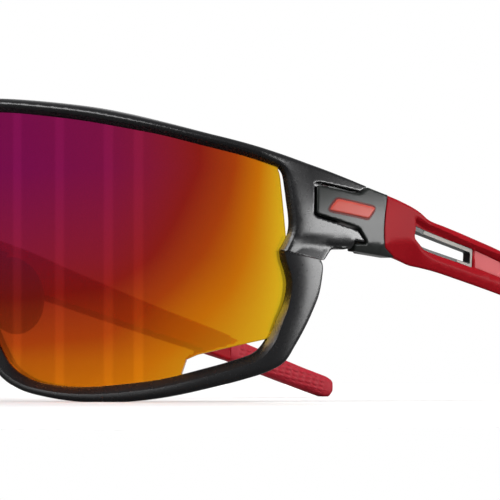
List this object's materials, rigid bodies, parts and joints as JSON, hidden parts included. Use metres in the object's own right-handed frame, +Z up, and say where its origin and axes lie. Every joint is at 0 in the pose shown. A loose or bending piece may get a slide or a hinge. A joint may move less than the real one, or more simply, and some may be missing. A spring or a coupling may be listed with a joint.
{
  "type": "wraparound sport sunglasses",
  "caption": "Wraparound sport sunglasses with one cylindrical mirrored shield lens, a removable lower rim, slotted folding temples and rubber tips.",
  "frame": {"origin": "under the middle of the box around the open sunglasses, on the surface they stand on", "axes": "+X to the wearer's left, +Y backwards along the temples, +Z up; the front faces -Y"},
  "size_m": [0.141, 0.1616, 0.059],
  "materials": {
    "black_nylon": "semi-gloss moulded nylon, near black",
    "grey_black_nylon": "satin moulded nylon, dark grey",
    "mirror_lens": "polished polycarbonate with a violet, red, orange and yellow mirror coating",
    "red_gloss": "semi-gloss red moulding",
    "inlay_red": "paler satin red",
    "red_rubber": "soft red elastomer with a raised grip pattern",
    "black_rubber": "soft matt black elastomer",
    "badge_red": "metallic coral red",
    "liner_grey": "satin grey",
    "soft_wire": "plain soft wire",
    "screw_steel": "turned steel",
    "insert_brass": "plain brass"
  },
  "bodies": {
    "front": {"upper_frame": "black_nylon", "lens": "mirror_lens", "hinge_screw_left": "screw_steel", "hinge_screw_right": "screw_steel", "hinge_insert_left": "insert_brass", "hinge_insert_right": "insert_brass"},
    "lower_rim_unit": {"lower_rim": "black_nylon", "nose_bridge": "black_nylon", "nose_pad_left": "black_rubber", "nose_pad_right": "black_rubber", "nose_wire_left": "soft_wire", "nose_wire_right": "soft_wire"},
    "left_temple": {"temple_core_left": "grey_black_nylon", "badge_left": "badge_red", "temple_shell_left": "red_gloss", "slot_liner_left": "liner_grey", "temple_inlay_left": "inlay_red", "temple_tip_left": "red_rubber", "tip_wire_left": "soft_wire"},
    "right_temple": {"temple_core_right": "grey_black_nylon", "badge_right": "badge_red", "temple_shell_right": "red_gloss", "slot_liner_right": "liner_grey", "temple_inlay_right": "inlay_red", "temple_tip_right": "red_rubber", "tip_wire_right": "soft_wire"}
  },
  "joints": [
    {"name": "left_temple_fold", "type": "hinge", "parent": "front", "child": "left_temple", "pos_m": [0.0662, -0.0361, 0.03765], "axis": [0, 0.2079, 0.9781], "range_deg": [0, 78]},
    {"name": "right_temple_fold", "type": "hinge", "parent": "front", "child": "right_temple", "pos_m": [-0.0662, -0.0361, 0.03765], "axis": [0, -0.2079, -0.9781], "range_deg": [0, 90]},
    {"name": "lower_rim_release", "type": "slide", "parent": "front", "child": "lower_rim_unit", "axis": [0, 0, -1], "range_m": [0, 0.008]}
  ]
}
